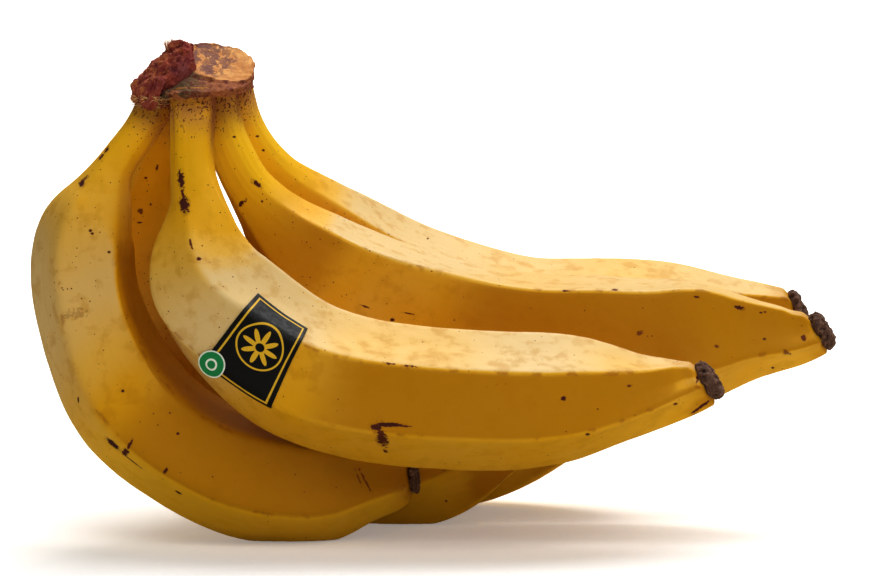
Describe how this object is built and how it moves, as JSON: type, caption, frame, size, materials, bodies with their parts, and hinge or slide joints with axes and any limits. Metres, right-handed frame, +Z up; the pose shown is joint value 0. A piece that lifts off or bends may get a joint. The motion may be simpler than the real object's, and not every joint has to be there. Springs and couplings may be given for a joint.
{
  "type": "banana hand",
  "caption": "Hand of ripe yellow bananas joined at a brown torn crown, with dry blossom ends and a small dark label, lying on the bellies of its lower row.",
  "frame": {"origin": "on the ground under the middle of the hand's box", "axes": "+X towards the fingertips, -Y towards the front with the label, +Z up"},
  "size_m": [0.2171, 0.1267, 0.1338],
  "materials": {
    "peel_light": "satin waxy peel",
    "peel_shaded": "satin waxy peel",
    "dry_tip": "dry, wrinkled and dull",
    "crown_brown": "dry torn fibres and a cut face",
    "label_dark": "smooth printed label"
  },
  "bodies": {
    "root": {"finger_upper_front": "peel_light", "finger_upper_middle": "peel_light", "finger_upper_back": "peel_light", "finger_lower_front": "peel_shaded", "finger_lower_middle": "peel_shaded", "finger_lower_back": "peel_shaded", "blossom_end_upper_front": "dry_tip", "blossom_end_upper_middle": "dry_tip", "blossom_end_upper_back": "dry_tip", "blossom_end_lower_front": "dry_tip", "blossom_end_lower_middle": "dry_tip", "blossom_end_lower_back": "dry_tip", "crown": "crown_brown", "label": "label_dark"}
  },
  "joints": []
}
